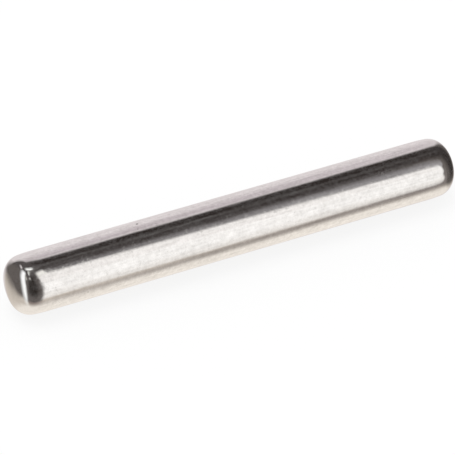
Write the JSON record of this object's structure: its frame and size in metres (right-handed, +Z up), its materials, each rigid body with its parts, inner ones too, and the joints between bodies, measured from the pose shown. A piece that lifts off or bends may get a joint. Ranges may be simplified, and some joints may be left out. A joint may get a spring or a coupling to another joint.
{
  "type": "bearing roller",
  "caption": "Long, slim rolling element for a needle or cylindrical roller bearing, with a ground barrel, relieved and rounded ends and slightly domed end faces.",
  "frame": {"origin": "centre of the roller: on its axis, halfway between the two domed end faces", "axes": "+X along the roller's axis, +Z up as the roller lies on its side, +Y completes the right-handed frame"},
  "size_m": [0.0398, 0.005, 0.005],
  "materials": {
    "roller": "hardened bearing steel, ground and lapped nearly to a mirror"
  },
  "bodies": {
    "root": {"roller": "roller"}
  },
  "joints": []
}
